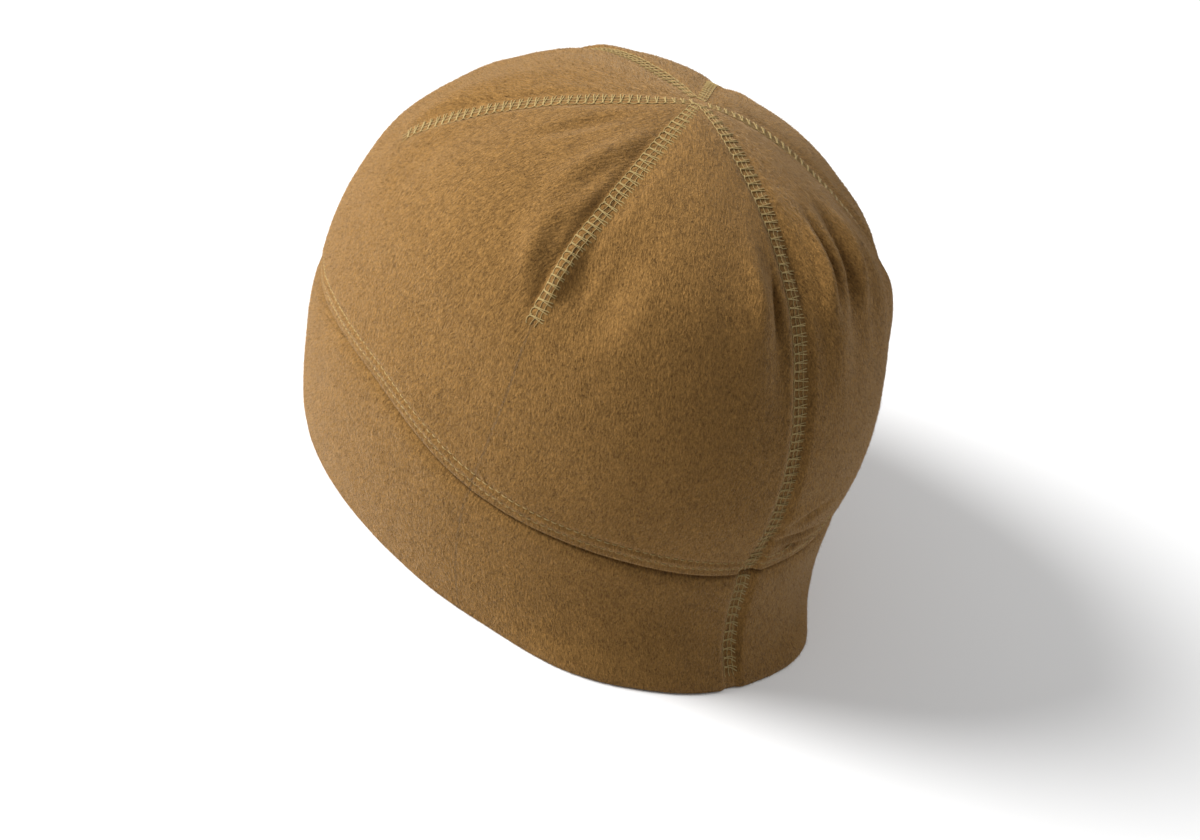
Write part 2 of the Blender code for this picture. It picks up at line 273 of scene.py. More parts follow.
def seamRelief(turn, climb):
    deepest = np.zeros(len(turn))
    extra = np.zeros(len(turn))
    for number, line in enumerate(seamLines):
        across = acrossSeam(line, turn, climb)
        begun = 1.0 if line.low == 0 else ease((climb - line.low) / capForm["dartPoint"])
        beside = np.maximum(np.abs(across) - capForm["seamBed"], 0)
        deepest = np.maximum(deepest, begun * hump(beside, capForm["seamReach"] - capForm["seamBed"]))
        fromEdge = across * line.side - seamLook["grooveAt"]
        crisp = line.crisp * begun * ease((1 - climb) / seamLook["crispFade"])
        extra -= crisp * seamLook["groove"] * np.exp(-((fromEdge / seamLook["grooveWidth"]) ** 2))
        fromLip = fromEdge - seamLook["lipAt"]
        extra += crisp * seamLook["lip"] * np.exp(-((fromLip / seamLook["lipWidth"]) ** 2))
        near = np.abs(across) < seamLook["puckerReach"]
        ripple = np.zeros(len(turn))
        apart, upward, sideways = seamLook["puckerPlaces"]
        places = [np.sign(across[near]) * apart, climb[near] * upward, across[near] * sideways]
        places = np.stack(places, axis=-1)
        ripple[near] = rough(places, seamLook["puckerSize"], number + 1)
        extra += seamLook["pucker"] * begun * ripple * hump(across, seamLook["puckerReach"])
    onPanel = np.sin(np.radians(turn) * capForm["panels"] / 2) ** 2
    full = ease((climb - capForm["fullFrom"]) / (capForm["fullAt"] - capForm["fullFrom"]))
    full = full * ease((1 - climb) / (1 - capForm["fullAt"]))
    # the valleys fade towards the point on top and towards the hem
    least = seamLook["topShare"]
    atTop = ease((1 - climb) / seamLook["topFade"])
    atHem = ease((climb + seamLook["hemStart"]) / seamLook["hemFade"])
    shallow = least + (1 - least) * atTop * atHem
    return capForm["fullness"] * onPanel * full + shallow * (extra - capForm["seamDepth"] * deepest)


def foldRelief(shell):
    # each fold counts by the distance to its line on the shell
    total = np.zeros(len(shell))
    share = np.linspace(0, 1, capForm["foldPoints"])
    for row in folds:
        lineTurn = row.turn + (row.turnEnd - row.turn) * share
        line = bareShell(lineTurn, row.climb + (row.climbEnd - row.climb) * share)
        reach = row.reach * capForm["foldReach"]
        nearest = np.linalg.norm(shell[:, None] - line[None], axis=-1).min(axis=1)
        near = nearest < reach + capForm["foldMargin"]
        points = shell[near]
        best = np.full(len(points), 1.0)
        t = np.zeros(len(points))
        for k in range(len(line) - 1):
            leg = line[k + 1] - line[k]
            along = np.clip((points - line[k]) @ leg / (leg @ leg), 0, 1)
            gap = np.linalg.norm(points - line[k] - along[:, None] * leg, axis=-1)
            closer = gap < best
            best = np.where(closer, gap, best)
            t = np.where(closer, (k + along) / (len(line) - 1), t)
        rise = np.where(t < row.peak, ease(t / row.peak), ease((1 - t) / (1 - row.peak)))
        total[near] += row.height * rise * hump(best, reach) ** row.edge
    return capForm["foldHeight"] * total


def rollIn(distance, radius):
    # how far a rolled edge lies in at this distance from it
    left = np.clip(radius - distance, 0, radius)
    return radius - np.sqrt(radius**2 - left**2)


def clothFace(turn, climb, edge, inset=0.0):
    # points on the cap's outer face, where edge is the distance from the band's seam
    shell = bareShell(turn, climb)
    relief = seamRelief(turn, climb) + foldRelief(shell)
    relief -= capForm["grooveDepth"] * hump(edge, capForm["grooveReach"])
    relief -= rollIn(np.abs(edge), capForm["edgeRoll"])
    relief += clothLook["wave"] * rough(shell, clothLook["waveSize"], 11)
    relief += clothLook["ripple"] * rough(shell, clothLook["rippleSize"], 12)
    return shell + outward(turn, climb) * (relief - inset)[:, None]


def selectOnly(*things):
    bpy.ops.object.select_all(action="DESELECT")
    for thing in things:
        thing.select_set(True)
    bpy.context.view_layer.objects.active = things[0]


def addGrid(name, columns, rows):
    # a flat piece of cut cloth, with each point's share across and up
    bpy.ops.object.select_all(action="DESELECT")
    bpy.ops.mesh.primitive_grid_add(x_subdivisions=columns, y_subdivisions=rows, size=1)
    piece = bpy.context.object
    piece.name = name
    piece.data.name = name
    flat = np.zeros(len(piece.data.vertices) * 3, np.float32)
    piece.data.vertices.foreach_get("co", flat)
    flat = flat.reshape(-1, 3) + 0.5
    return piece, 1 - flat[:, 0].astype(float), flat[:, 1].astype(float)


def placePoints(piece, points):
    piece.data.vertices.foreach_set("co", np.asarray(points, np.float32).ravel())
    piece.data.update()


def mergeEnds(piece):
    selectOnly(piece)
    bpy.ops.object.mode_set(mode="EDIT")
    bpy.ops.mesh.select_all(action="SELECT")
    bpy.ops.mesh.remove_doubles(threshold=gridLook["mergeWithin"])
    bpy.ops.object.mode_set(mode="OBJECT")


def applyModifiers(piece):
    selectOnly(piece)
    for modifier in list(piece.modifiers):
        bpy.ops.object.modifier_apply(modifier=modifier.name)
    bpy.ops.object.shade_smooth()


def giveThickness(piece, thickness):
    wall = piece.modifiers.new("cloth", "SOLIDIFY")
    wall.thickness = thickness
    wall.offset = -1
    applyModifiers(piece)


gridLook = {
    "columns": 408,
    "crownRows": 112,
    "bandRows": 70,
    "gather": 0.5,
    "meridian": 0.19,  # metres from the hem over the side to the point on top
    "mergeWithin": 0.000005,
}


def turnAt(across, climb):
    # the grid's columns lie closer together beside the seams, and bend with them
    share = across * capForm["panels"]
    panel = np.minimum(share.astype(int), capForm["panels"] - 1)
    within = share - panel
    within = within - gridLook["gather"] * np.sin(2 * math.pi * within) / (2 * math.pi)
    starts = np.array([seamTurn(line, climb) for line in seamLines] + [seamTurn(seamLines[0], climb) + 360])
    index = np.arange(len(across))
    return starts[panel, index] + within * (starts[panel + 1, index] - starts[panel, index])


def mapNap(piece, across, turn, climb):
    # the map that the nap follows: metres across each panel from its middle, and metres up it
    panels = capForm["panels"]
    panel = np.minimum((across * panels).astype(int), panels - 1)
    starts = np.array([seamTurn(line, climb) for line in seamLines] + [seamTurn(seamLines[0], climb) + 360])
    index = np.arange(len(across))
    middle = (starts[panel, index] + starts[panel + 1, index]) / 2
    shell = bareShell(turn, climb)
    radius = np.hypot(shell[:, 0], shell[:, 1] - middleOf(climb))
    u = np.radians(turn - middle) * radius + panel * capForm["width"]
    v = climb * gridLook["meridian"]
    corners = np.zeros(len(piece.data.loops), np.int32)
    piece.data.loops.foreach_get("vertex_index", corners)
    napMap = piece.data.uv_layers[0]
    napMap.name = "nap"
    napMap.data.foreach_set("uv", np.stack([u[corners], v[corners]], axis=-1).astype(np.float32).ravel())


faces = {}


def keepFace(name, points, turn, climb, rows):
    # the outer face as a grid of places with their turns and climbs, for the nap that lies on it
    columns = len(turn) // (rows + 1)
    grid = np.column_stack([points, turn, climb])
    faces[name] = grid.reshape(rows + 1, columns, 5)[:, ::-1]


cloth = {
    "crown": 0.0022,  # thickness of the crown, and of each of the band's two plies
    "band": 0.0020,
    "plyGap": 0.0004,
    "hemPressed": 0.0009,  # how far the hem's round lies below the floor before it is pressed flat
    "inside": 0.007,  # the band's seam allowance, up inside the crown
    "outerShare": 0.60,  # shares of the strip's rows on its outer face and in the hem's round
    "roundShare": 0.16,
}


def makeCrown():
    piece, across, up = addGrid("crownFleece", gridLook["columns"], gridLook["crownRows"])
    share = up - gridLook["gather"] * np.sin(2 * math.pi * up) / (2 * math.pi)
    straight = 360 * across
    low = climbAt(seamHeight(straight))
    climb = low + (1 - low) * share
    turn = turnAt(across, climb)
    low = climbAt(seamHeight(turn))
    climb = low + (1 - low) * share
    edge = heightAt(climb) - seamHeight(turn)
    points = clothFace(turn, climb, edge)
    for row in clothLook["stitchRows"]:
        bed = clothLook["rowDepth"] * np.exp(-(((edge - row) / clothLook["rowWidth"]) ** 2))
        points -= outward(turn, climb) * bed[:, None]
    top = up > 0.9999  # the grid's last row
    points[top] = points[top].mean(axis=0)
    points = points - setOver
    placePoints(piece, points)
    mapNap(piece, across, turn, climb)
    keepFace("crown", points, turn, climb, gridLook["crownRows"])
    mergeEnds(piece)
    giveThickness(piece, cloth["crown"])
    return piece


def makeBand():
    # a strip folded double: down its outer face, round the hem and up its inner face
    piece, across, up = addGrid("bandFleece", gridLook["columns"], gridLook["bandRows"])
    turn = turnAt(across, np.zeros(len(across)))
    seam = seamHeight(turn)
    both = 2 * cloth["band"] + cloth["plyGap"]
    radius = both / 2
    centre = radius - cloth["hemPressed"]
    down = 1 - up
    outer, hemRound = cloth["outerShare"], cloth["roundShare"]
    innerShare = np.clip((down - outer - hemRound) / (1 - outer - hemRound), 0, 1)
    innerHeight = centre + (seam + cloth["inside"] - centre) * innerShare
    height = np.where(down < outer, seam - (seam - centre) * down / outer, innerHeight)
    angle = math.pi * np.clip((down - outer) / hemRound, 0, 1)
    inset = radius * (1 - np.cos(angle))
    drop = radius * np.sin(angle)
    edge = np.where(down < outer, seam - height, 1.0)
    climb = climbAt(np.maximum(height, 0))
    points = clothFace(turn, climb, edge)
    level = outward(turn, climb)
    points = points - level * inset[:, None]
    points[:, 2] = np.maximum(points[:, 2] - drop, 0)
    points = points - setOver
    placePoints(piece, points)
    mapNap(piece, across, turn, climbAt(height - drop))
    keepFace("band", points, turn, climb, gridLook["bandRows"])
    faces["band"] = faces["band"][round((1 - outer - hemRound / 2) * gridLook["bandRows"]):]
    mergeEnds(piece)
    giveThickness(piece, cloth["band"])
    return piece


def findShift():
    # how far the form's middle lies from the frame's origin, along Y
    ways, levels = 240, 160
    turns = np.repeat(np.arange(ways) * 360 / ways, levels)
    climbs = np.tile(np.linspace(0, 1, levels), ways)
    points = bareShell(turns, climbs)
    middle = (points[:, 1].min() + points[:, 1].max()) / 2
    low, high = cadBox
    return np.array([0.0, middle - (low.y + high.y) / 2, 0.0])


def addSocket(group, name, kind, value=None):
    way = "OUTPUT" if value is None else "INPUT"
    socket = group.interface.new_socket(name, in_out=way, socket_type="NodeSocket" + kind)
    if value is not None:
        socket.default_value = value


def addNode(tree, kind, links=None, **values):
    # a node with its plain values, and links to it by socket name
    node = tree.nodes.new("ShaderNode" + kind)
    for key, value in values.items():
        setattr(node, key, value)
    for key, value in (links or {}).items():
        socket = node.inputs[key]
        if isinstance(value, bpy.types.NodeSocket):
            tree.links.new(value, socket)
        else:
            socket.default_value = value
    return node


def makeNapGroup():
    # brushed fleece: short streaks of nap down each panel, tangled grain and soft mottling
    group = bpy.data.node_groups.new("brushedNap", "ShaderNodeTree")
    addSocket(group, "Vector", "Vector", (0, 0, 0))
    addSocket(group, "Cloth", "Color", (0.2, 0.11, 0.045, 1))
    addSocket(group, "Shade", "Color", (0.1, 0.05, 0.02, 1))
    addSocket(group, "Light", "Color", (0.3, 0.19, 0.09, 1))
    addSocket(group, "Streaks", "Float", 0.8)
    addSocket(group, "Mottling", "Float", 0.25)
    addSocket(group, "Color", "Color")
    addSocket(group, "Roughness", "Float")
    addSocket(group, "Height", "Float")
    given = group.nodes.new("NodeGroupInput").outputs
    out = group.nodes.new("NodeGroupOutput")
    place = addNode(group, "TexCoord").outputs["Object"]
    warp = addNode(group, "TexNoise", {"Vector": place, "Scale": 420, "Detail": 2})
    warpBy = addNode(
        group, "VectorMath", {0: warp.outputs["Color"], 1: (0.0007, 0.0007, 0.0007)}, operation="MULTIPLY")
    warped = addNode(
        group, "VectorMath", {0: given["Vector"], 1: warpBy.outputs["Vector"]}, operation="ADD")
    long = addNode(group, "Mapping", {"Vector": warped.outputs["Vector"], "Scale": (1.0, 0.26, 1.0)})
    streaks = addNode(
        group, "TexNoise", {"Vector": long.outputs["Vector"], "Scale": 2100, "Detail": 3, "Roughness": 0.6})
    grain = addNode(group, "TexNoise", {"Vector": place, "Scale": 1500, "Detail": 3, "Roughness": 0.65})
    patches = addNode(group, "TexNoise", {"Vector": place, "Scale": 150, "Detail": 3})
    both = addNode(group, "Mix", {"Factor": 0.4, "A": streaks.outputs["Fac"], "B": grain.outputs["Fac"]})
    crisp = addNode(
        group, "MapRange", {"Value": both.outputs["Result"], "From Min": 0.34, "From Max": 0.66})
    tone = addNode(group, "Mix", {
        "Factor": given["Mottling"],
        "A": crisp.outputs["Result"],
        "B": patches.outputs["Fac"],
    })
    shade = addNode(
        group, "Mix", {"Factor": tone.outputs["Result"], "A": given["Shade"], "B": given["Light"]},
        data_type="RGBA")
    mixed = addNode(
        group, "Mix", {"Factor": given["Streaks"], "A": given["Cloth"], "B": shade.outputs["Result"]},
        data_type="RGBA")
    rougher = addNode(group, "MapRange", {"Value": grain.outputs["Fac"], "To Min": 0.82, "To Max": 1.0})
    group.links.new(mixed.outputs["Result"], out.inputs["Color"])
    group.links.new(rougher.outputs["Result"], out.inputs["Roughness"])
    group.links.new(crisp.outputs["Result"], out.inputs["Height"])
    return group


def newMaterial(name, look):
    material = bpy.data.materials.new(name)
    material.use_nodes = True
    shader = material.node_tree.nodes["Principled BSDF"]
    shader.inputs["Sheen Weight"].default_value = look["sheen"]
    shader.inputs["Sheen Roughness"].default_value = look["sheenRoughness"]
    shader.inputs["Sheen Tint"].default_value = look["sheenTint"]
    shader.inputs["Specular IOR Level"].default_value = look["specular"]
    return material, material.node_tree, shader


def fleeceMaterial(name, nap, look, tones):
    material, tree, shader = newMaterial(name, look)
    napMap = addNode(tree, "UVMap", uv_map="nap")
    group = addNode(tree, "Group", node_tree=nap)
    tree.links.new(napMap.outputs["UV"], group.inputs["Vector"])
    for key, value in tones.items():
        group.inputs[key].default_value = value
    for key in ("Streaks", "Mottling"):
        group.inputs[key].default_value = look[key]
    bump = addNode(tree, "Bump", {
        "Height": group.outputs["Height"],
        "Strength": look["bump"],
        "Distance": look["relief"],
    })
    tree.links.new(group.outputs["Color"], shader.inputs["Base Color"])
    tree.links.new(group.outputs["Roughness"], shader.inputs["Roughness"])
    tree.links.new(bump.outputs["Normal"], shader.inputs["Normal"])
    return material


def fibreMaterial(name, look, tones):
    # each fibre has a tone of its own, from the cloth's shade to its light
    material, tree, shader = newMaterial(name, look)
    tone = addNode(tree, "Attribute", attribute_name="tone")
    colour = addNode(
        tree, "Mix", {"Factor": tone.outputs["Fac"], "A": tones["Shade"], "B": tones["Light"]},
        data_type="RGBA")
    tree.links.new(colour.outputs["Result"], shader.inputs["Base Color"])
    shader.inputs["Roughness"].default_value = look["roughness"]
    return material


def threadMaterial(name, look):
    material, tree, shader = newMaterial(name, look)
    place = addNode(tree, "TexCoord").outputs["Object"]
    twist = addNode(tree, "TexNoise", {"Vector": place, "Scale": 3000, "Detail": 2})
    colour = addNode(
        tree, "Mix", {"Factor": twist.outputs["Fac"], "A": look["Shade"], "B": look["Light"]},
        data_type="RGBA")
    bump = addNode(tree, "Bump", {
        "Height": twist.outputs["Fac"],
        "Strength": look["bump"],
        "Distance": look["relief"],
    })
    tree.links.new(colour.outputs["Result"], shader.inputs["Base Color"])
    tree.links.new(bump.outputs["Normal"], shader.inputs["Normal"])
    shader.inputs["Roughness"].default_value = look["roughness"]
    return material


coyoteBrown = {
    "Cloth": (0.195, 0.095, 0.024, 1),
    "Shade": (0.060, 0.027, 0.005, 1),
    "Light": (0.345, 0.183, 0.050, 1),
}
fleece = {
    "Streaks": 0.95,
    "Mottling": 0.25,
    "bump": 0.9,
    "relief": 0.0003,
    "roughness": 0.9,  # of the loose fibres
    "sheen": 0.32,
    "sheenRoughness": 0.45,
    "sheenTint": (1.0, 0.78, 0.52, 1),
    "specular": 0.15,
}
thread = {
    "Shade": (0.235, 0.160, 0.058, 1),
    "Light": (0.46, 0.335, 0.130, 1),
    "bump": 0.5,
    "relief": 0.0001,
    "roughness": 0.7,
    "sheen": 0.2,
    "sheenRoughness": 0.4,
    "sheenTint": (1.0, 0.9, 0.7, 1),
    "specular": 0.3,
}

# Stitches. A place beside a seam is the distance across it, towards its left, and along it, up
ladder = {
    "halfWidth": 0.0026,
    "pitch": 0.00265,
    "bandPitch": 0.0029,
    "strand": 0.00017,  # radius of the looper's thread
    "link": 0.00012,  # and of the needles' thread
    "spread": 0.00045,  # between the two ends of a rung, halved
    "lift": 0.00022,
    "jitter": 0.00014,
    "narrowest": 0.58,  # shares of the width and the lift, at the point on top
    "lowest": 0.4,
    "seamFoot": 0.01,  # climbs from a seam's low end to its ladder's
    "dartFoot": 0.005,
    "top": 0.996,
    "bandFoot": 0.035,
    "bandTop": 0.004,  # climb left below the band's seam
    "bandSlant": -0.45,  # lean of a rung, in pitches
    "crowdFrom": 0.9,  # a ladder that ends below this climb keeps its width
    "crowdClimb": 2.0,  # climbs to a metre of crowding, over which the nap's gap is narrow too
    "nodeAt": 0.86,  # shares of the half width, for the node and for the two links inside it
    "needles": (-0.22, 0.38),
    "places": 500,
}
topstitch = {
    "pitch": 0.0024,
    "length": 0.0016,
    "radius": 0.00018,
    "lift": 0.00018,
    "sunkEnd": -0.0001,
    "lengthSpread": 0.12,
    "stray": 0.00008,
    "places": 1500,
}
looseEnd = {
    "turn": 3.0,
    "above": 0.012,  # climb over the band's seam
    # each step lies to the side, out of the cloth and up
    "steps": (
        (0, 0, 0),
        (0.0002, 0.0002, 0.0004),
        (0.0001, 0.0005, 0.0010),
        (-0.0003, 0.0007, 0.0016),
        (-0.0002, 0.0008, 0.0022),
    ),
}


def sewingFrame(turn, climb):
    # where a seam's points lie, with the way out of the cloth there
    turn, climb = np.asarray(turn, float), np.asarray(climb, float)
    edge = heightAt(climb) - seamHeight(turn)
    place = clothFace(turn, climb, edge) - setOver
    out = outward(turn, climb)
    return place, out


def seamFrames(line, start, end, pitch):
    climbs = np.linspace(start, end, ladder["places"])
    turns = seamTurn(line, climbs)
    places, outs = sewingFrame(turns, climbs)
    steps = np.linalg.norm(np.diff(places, axis=0), axis=1)
    run = np.concatenate([[0], np.cumsum(steps)])
    stops = np.arange(pitch / 2, run[-1], pitch)
    at = np.stack([np.interp(stops, run, places[:, k]) for k in range(3)], axis=-1)
    out = np.stack([np.interp(stops, run, outs[:, k]) for k in range(3)], axis=-1)
    along = np.stack([np.interp(stops + pitch / 2, run, places[:, k]) for k in range(3)], axis=-1) - at
    along /= np.linalg.norm(along, axis=1, keepdims=True)
    across = np.cross(along, out)
    across /= np.linalg.norm(across, axis=1, keepdims=True)
    return at, across, along


def seat(surface, point, lift):
    # a point of thread on the cloth, lifted off it
    found, normal, _, _ = surface.find_nearest(Vector(point))
    return np.array(found) + np.array(normal) * lift


def layThread(surface, at, across, along, places):
    return [seat(surface, at + across * x + along * y, lift) for x, y, lift in places]


def sewLadder(surface, line, start, end, pitch, chance, slant=0.0):
    # a flatlock seam: rungs of doubled thread, each gathered in a node that is linked to the next.
    # The paths are in shares of the ladder's half width, of a rung's spread and of the pitch, with
    # small steps in metres
    half, spread = ladder["halfWidth"], ladder["spread"]
    strands, links = [], []
    frames = list(zip(*seamFrames(line, start, end, pitch)))
    for number, (at, across, along) in enumerate(frames):
        # the ladders narrow and sink in where they crowd together at the point on top
        toTop = (len(frames) - number) * pitch if end > ladder["crowdFrom"] else 1.0
        crowded = 1 - float(ease(toTop / line.crowding))
        lift = ladder["lift"] * (1 - crowded * (1 - ladder["lowest"]))
        across = across * line.side * (1 - crowded * (1 - ladder["narrowest"]))
        jitter = chance.normal(0, ladder["jitter"], 8)
        a, b = spread + jitter[0], spread + jitter[1]
        node = (-half * ladder["nodeAt"] + jitter[2], jitter[3])
        lean = slant * pitch
        strands.append(layThread(surface, at, across, along, [
            (half + jitter[4], a + lean, 0.0),
            (half * 0.75, a + lean * 0.7, lift),
            (half * 0.1, a * 0.55, lift),
            (-half * 0.5, a * 0.25, lift),
            (node[0], node[1] + 0.0001, lift * 1.2)]))
        strands.append(layThread(surface, at, across, along, [
            (half + jitter[5], -b + lean, 0.0),
            (half * 0.75, -b + lean * 0.7, lift),
            (half * 0.1, -b * 0.5, lift),
            (-half * 0.5, -b * 0.2, lift),
            (node[0], node[1] - 0.0001, lift * 1.2)]))
        strands.append(layThread(surface, at, across, along, [
            (node[0] + 0.0002, 0.0005, lift * 0.4), (node[0] - 0.00015, 0.0, lift * 1.5),
            (node[0] - 0.0002, -0.0006, lift * 0.6)]))
        links.append(layThread(surface, at, across, along, [
            (node[0], node[1], lift),
            (-half, -pitch * 0.28, lift * 0.8),
            (-half * 1.02, -pitch * 0.55, lift * 0.6),
            (-half * 0.95, -pitch * 0.8, lift * 0.6),
            (node[0], -pitch, lift * 0.8)]))
        for x in ladder["needles"]:
            links.append(layThread(surface, at, across, along, [
                (half * x + jitter[6], 0.0, lift * 0.9), (half * (x - 0.06), -pitch * 0.5, lift * 0.35),
                (half * x + jitter[7], -pitch, lift * 0.9)]))
    return strands, links


def makeThreads(name, runs, radius):
    # every run of thread is one spline of a bevelled curve, turned into a mesh
    data = bpy.data.curves.new(name, "CURVE")
    data.dimensions = "3D"
    data.bevel_depth = radius
    data.bevel_resolution = 0
    data.use_fill_caps = True
    for run in runs:
        spline = data.splines.new("POLY")
        spline.points.add(len(run) - 1)
        spline.points.foreach_set("co", np.column_stack([run, np.ones(len(run))]).ravel())
    piece = bpy.data.objects.new(name, data)
    bpy.context.scene.collection.objects.link(piece)
    selectOnly(piece)
    bpy.ops.object.convert(target="MESH")
    piece = bpy.context.object
    bpy.ops.object.shade_smooth()
    return piece


def sewTopstitch(surface, row, chance):
    # one row of short stitches round the cap, above the band's seam
    turns = np.linspace(0, 360, topstitch["places"])
    climbs = climbAt(seamHeight(turns) + row)
    places, _ = sewingFrame(turns, climbs)
    steps = np.linalg.norm(np.diff(places, axis=0), axis=1)
    run = np.concatenate([[0], np.cumsum(steps)])
    count = round(run[-1] / topstitch["pitch"])
    runs = []
    half = topstitch["length"] / 2
    sunk = topstitch["sunkEnd"]
    for stop in np.arange(count) * run[-1] / count:
        long = half * (1 + chance.normal(0, topstitch["lengthSpread"]))
        shift = chance.normal(0, topstitch["stray"])
        path = []
        for along, lift in ((-long, sunk), (-long * 0.5, 0.8), (0, 1.0), (long * 0.5, 0.8), (long, sunk)):
            at = np.array([np.interp((stop + along) % run[-1], run, places[:, k]) for k in range(3)])
            lift = lift * topstitch["lift"] if lift > 0 else lift
            path.append(seat(surface, at + np.array([0, 0, shift]), lift))
        runs.append(path)
    return runs


def layLooseEnd(surface):
    # the cut end of the seam's thread, standing up off the cloth beside the back seam
    turn = looseEnd["turn"]
    place, out = sewingFrame([turn], [climbAt(seamHeight(turn)) + looseEnd["above"]])
    foot = seat(surface, place[0], 0.0)
    return [foot + np.array([x, 0, z]) + out[0] * y for x, y, z in looseEnd["steps"]]


def makeStitches():
    surface = BVHTree.FromObject(crown, bpy.context.evaluated_depsgraph_get())
    bandSurface = BVHTree.FromObject(band, bpy.context.evaluated_depsgraph_get())
    chance = np.random.default_rng(7)
    strands, links, rows = [], [], []
    for line in seamLines:
        start = line.low + ladder["dartFoot"]
        if line.low == 0:
            start = climbAt(seamHeight(0.0)) + ladder["seamFoot"]
        found = sewLadder(surface, line, start, ladder["top"], ladder["pitch"], chance)
        strands += found[0]
        links += found[1]
    top = climbAt(seamHeight(0.0)) - ladder["bandTop"]
    bandStrands, bandLinks = sewLadder(
        bandSurface, seamLines[0], ladder["bandFoot"], top, ladder["bandPitch"], chance,
        slant=ladder["bandSlant"])
    for row in clothLook["stitchRows"]:
        rows += sewTopstitch(surface, row, chance)
    links.append(layLooseEnd(surface))
    onCrown = [
        makeThreads("flatlockLadders", strands, ladder["strand"]),
        makeThreads("flatlockLinks", links, ladder["link"]),
        makeThreads("crownTopstitching", rows, topstitch["radius"]),
    ]
    onBand = [
        makeThreads("bandJoinLadder", bandStrands, ladder["strand"]),
        makeThreads("bandJoinLinks", bandLinks, ladder["link"]),
    ]
    return onCrown, onBand


nap = {
    "crownFibres": 190000,  # in each of the crown's two layers
    "bandFibres": 170000,
    "length": 0.0008,
    "lengthSpread": 0.35,
    "width": 0.00011,
    "lean": 17.0,  # degrees off the cloth
    "leanSpread": 12.0,
    "leanLeast": 2.0,
    "leanMost": 80.0,
    "stray": 22.0,  # degrees from straight down the panel, for a blade and for its tuft
    "tuftStray": 30.0,
    "tuftSize": 0.0005,
    "tuftTone": 0.42,
    "toneSpread": 0.22,
    "onStitches": 0.15,  # the share of blades left where stitches press the nap down
    "rootClear": 0.0001,  # height of a blade's root and tip over the floor, at the least
    "tipClear": 0.0002,
}


def tuftChance(place, number):
    # an even chance from 0 to 1 that every blade of a tuft shares, from the digits of a large sine
    cell = np.floor(place / nap["tuftSize"])
    mixed = np.sin(cell @ np.array([12.9898, 78.233, 37.719]) + number * 4.7) * 43758.5453
    return (mixed - np.floor(mixed))[:, None]


def isSewn(turn, climb):
    sewn = np.zeros(len(turn), bool)
    for line in seamLines:
        narrow = climb > 1 - line.crowding * ladder["crowdClimb"]
        half = ladder["halfWidth"] * np.where(narrow, ladder["narrowest"], 1.0)
        sewn |= (np.abs(acrossSeam(line, turn, climb)) < half) & (climb > line.low)
    above = heightAt(climb) - seamHeight(turn)
    for row in clothLook["stitchRows"]:
        sewn |= np.abs(above - row) < topstitch["radius"] * 2
    return sewn


def makeFibres(name, grid, count, seed):
    # loose blades of nap over an outer face, each one triangle, combed down the panels in tufts
    chance = np.random.default_rng(seed)
    face = grid[..., :3]
    corner = [face[:-1, :-1], face[:-1, 1:], face[1:, 1:], face[1:, :-1]]
    size = np.linalg.norm(np.cross(corner[2] - corner[0], corner[3] - corner[1]), axis=-1)
    turns, climbs = grid[:-1, :-1, 3].ravel(), grid[:-1, :-1, 4].ravel()
    weight = size.ravel() * np.where(isSewn(turns, climbs), nap["onStitches"], 1.0)
    cells = chance.choice(size.size, count, p=weight / weight.sum())
    normals = faceNormals(face)
    s, t = chance.random((2, count, 1))

    def spread(values):
        a, b, c, d = (v.reshape(-1, 3)[cells] for v in values)
        return (a * (1 - s) + b * s) * (1 - t) + (d * (1 - s) + c * s) * t

    place = spread(corner)
    out = spread([normals[:-1, :-1], normals[:-1, 1:], normals[1:, 1:], normals[1:, :-1]])
    out /= np.linalg.norm(out, axis=1, keepdims=True)
    down = (corner[0] - corner[3]).reshape(-1, 3)[cells]
    down -= out * (down * out).sum(axis=1, keepdims=True)
    down /= np.linalg.norm(down, axis=1, keepdims=True) + 1e-12
    side = np.cross(out, down)
    tuft = tuftChance(place, 1)
    stray = chance.normal(0, nap["stray"], (count, 1)) + nap["tuftStray"] * (tuft * 2 - 1)
    stray = np.radians(stray)
    lean = chance.normal(nap["lean"], nap["leanSpread"], count)
    lean = np.radians(np.clip(lean, nap["leanLeast"], nap["leanMost"]))[:, None]
    way = down * np.cos(stray) + side * np.sin(stray)
    beside = np.cross(out, way)
    long = nap["length"] * np.exp(chance.normal(0, nap["lengthSpread"], count))[:, None]
    tip = place + (way * np.cos(lean) + out * np.sin(lean)) * long
    tip[:, 2] = np.maximum(tip[:, 2], nap["tipClear"])
    half = beside * nap["width"] / 2
    points = np.stack([place + half, place - half, tip], axis=1)
    points[..., 2] = np.maximum(points[..., 2], nap["rootClear"])
    mesh = bpy.data.meshes.new(name)
    mesh.vertices.add(count * 3)
    mesh.vertices.foreach_set("co", points.astype(np.float32).ravel())
    mesh.loops.add(count * 3)
    mesh.loops.foreach_set("vertex_index", np.arange(count * 3, dtype=np.int32))
    mesh.polygons.add(count)
    mesh.polygons.foreach_set("loop_start", np.arange(0, count * 3, 3, dtype=np.int32))
    mesh.update(calc_edges=True)
    tones = mesh.attributes.new("tone", "FLOAT", "POINT")
    tone = 0.5 + nap["tuftTone"] * (tuftChance(place, 2)[:, 0] * 2 - 1)
    tone = np.clip(tone + chance.normal(0, nap["toneSpread"], count), 0, 1)
    tones.data.foreach_set("value", np.repeat(tone, 3).astype(np.float32))
    addCells(mesh, count)
    piece = bpy.data.objects.new(name, mesh)
    bpy.context.scene.collection.objects.link(piece)
    return piece


